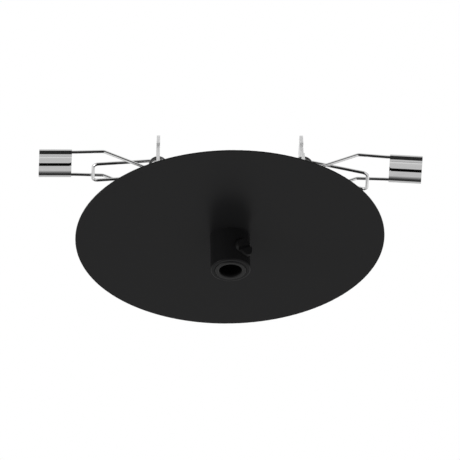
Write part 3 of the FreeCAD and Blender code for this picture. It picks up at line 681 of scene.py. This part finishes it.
def make_camera():
    elevation, yaw, roll = (math.radians(a) for a in (VIEW_ELEVATION, VIEW_YAW, VIEW_ROLL))
    side = Vector((math.cos(yaw), -math.sin(yaw), 0))
    level = Vector((math.sin(yaw), math.cos(yaw), 0))
    look = level * math.cos(elevation) + Vector((0, 0, math.sin(elevation)))
    above = Vector((0, 0, math.cos(elevation))) - level * math.sin(elevation)
    right = side * math.cos(roll) - above * math.sin(roll)
    up = side * math.sin(roll) + above * math.cos(roll)
    target = side * VIEW_TARGET_SIDE + Vector((0, 0, VIEW_TARGET_HEIGHT))
    data = bpy.data.cameras.new("camera")
    data.sensor_width = SENSOR_WIDTH
    data.lens = PIXELS_PER_MM * VIEW_DISTANCE / PHOTO_WIDTH * SENSOR_WIDTH
    data.clip_start, data.clip_end = CLIP_START, CLIP_END
    camera = add_object("camera", data)
    turned = Matrix((right, up, -look)).transposed().to_4x4()
    camera.matrix_world = Matrix.Translation((target - look * VIEW_DISTANCE) * MM) @ turned
    bpy.context.scene.camera = camera


def add_lamp(name, place, width, power):
    data = bpy.data.lights.new(name, "AREA")
    data.shape = "DISK"
    data.size = width
    data.energy = power
    lamp = add_object(name, data)
    lamp.location = place
    way = Vector(LAMP_TARGET) - Vector(place)
    lamp.rotation_euler = way.to_track_quat("-Z", "Y").to_euler()
    return lamp


def feed(tree, socket, value):
    """Sets a socket to a number, or links it to another node's output."""
    if isinstance(value, float):
        socket.default_value = value
    else:
        tree.links.new(value, socket)


def math_node(tree, operation, *values):
    node = tree.nodes.new("ShaderNodeMath")
    node.operation = operation
    for socket, value in zip(node.inputs, values):
        feed(tree, socket, value)
    return node.outputs[0]


def mix_node(tree, factor, low, high):
    """From low where the factor is 0 to high where it is 1."""
    node = tree.nodes.new("ShaderNodeMix")
    feed(tree, node.inputs["Factor"], factor)
    feed(tree, node.inputs["A"], low)
    feed(tree, node.inputs["B"], high)
    return node.outputs["Result"]


def step_node(tree, value, low, high):
    """0 at low, 1 at high and smooth between them."""
    node = tree.nodes.new("ShaderNodeMapRange")
    node.interpolation_type = "SMOOTHSTEP"
    node.inputs["From Min"].default_value = low
    node.inputs["From Max"].default_value = high
    feed(tree, node.inputs["Value"], value)
    return node.outputs["Result"]


def patch_node(tree, pitch, lean, patch):
    """How much of a patch's shade there is in one direction."""
    start, end, soft, full_lean, last_lean, shade = patch
    above = step_node(tree, pitch, start - soft, start + soft)
    below = step_node(tree, pitch, end + soft, end - soft)
    within = step_node(tree, lean, last_lean, full_lean)
    height = math_node(tree, "MULTIPLY", above, below)
    return math_node(tree, "MULTIPLY", math_node(tree, "MULTIPLY", height, within), shade)


def mirrored_light(tree):
    """White with the dark patches, for the direction that a ray leaves in."""
    direction = tree.nodes.new("ShaderNodeTexCoord")
    parts = tree.nodes.new("ShaderNodeSeparateXYZ")
    tree.links.new(direction.outputs["Generated"], parts.inputs[0])
    front = math_node(tree, "MULTIPLY", parts.outputs["Y"], -1.0)
    turn = math_node(tree, "ARCTAN2", parts.outputs["Z"], front)
    pitch = math_node(tree, "DEGREES", turn)
    off_centre = math_node(tree, "SUBTRACT", parts.outputs["X"], LEAN_CENTRE)
    lean = math_node(tree, "ABSOLUTE", off_centre)
    shade = patch_node(tree, pitch, lean, DARK_PATCHES[0])
    for patch in DARK_PATCHES[1:]:
        shade = math_node(tree, "MAXIMUM", shade, patch_node(tree, pitch, lean, patch))
    return math_node(tree, "SUBTRACT", 1.0, shade)


def make_world():
    """White to the camera, plain grey light to matt surfaces, and what shiny metal mirrors."""
    world = bpy.data.worlds.new("surroundings")
    bpy.context.scene.world = world
    world.use_nodes = True
    tree = world.node_tree
    tree.nodes.clear()
    ray = tree.nodes.new("ShaderNodeLightPath").outputs
    seen = math_node(tree, "MAXIMUM", ray["Is Camera Ray"], ray["Is Transmission Ray"])
    strength = mix_node(tree, ray["Is Glossy Ray"], PLAIN_LIGHT, mirrored_light(tree))
    strength = mix_node(tree, seen, strength, 1.0)
    glow = tree.nodes.new("ShaderNodeBackground")
    glow.inputs["Color"].default_value = (1, 1, 1, 1)
    feed(tree, glow.inputs["Strength"], strength)
    output = tree.nodes.new("ShaderNodeOutputWorld")
    tree.links.new(glow.outputs[0], output.inputs["Surface"])


def make_studio():
    """The lamp from above isn't seen in gloss, where the sleeves would vanish in its white."""
    make_world()
    add_lamp("key", KEY_PLACE, KEY_WIDTH, KEY_POWER)
    top = add_lamp("top", TOP_PLACE, TOP_WIDTH, TOP_POWER)
    top.visible_glossy = False


bpy.context.scene.view_settings.view_transform = "Standard"
finish_materials()
for node_name, node_material in NODE_MATERIALS.items():
    paint_node(node_name, node_material)
for node_name, bevel_width in BEVELS.items():
    bevel_node(node_name, bevel_width)
for side_name in SIDES:
    make_spring(side_name)
    make_sleeve(side_name)
make_threaded_tube()
make_camera()
make_studio()
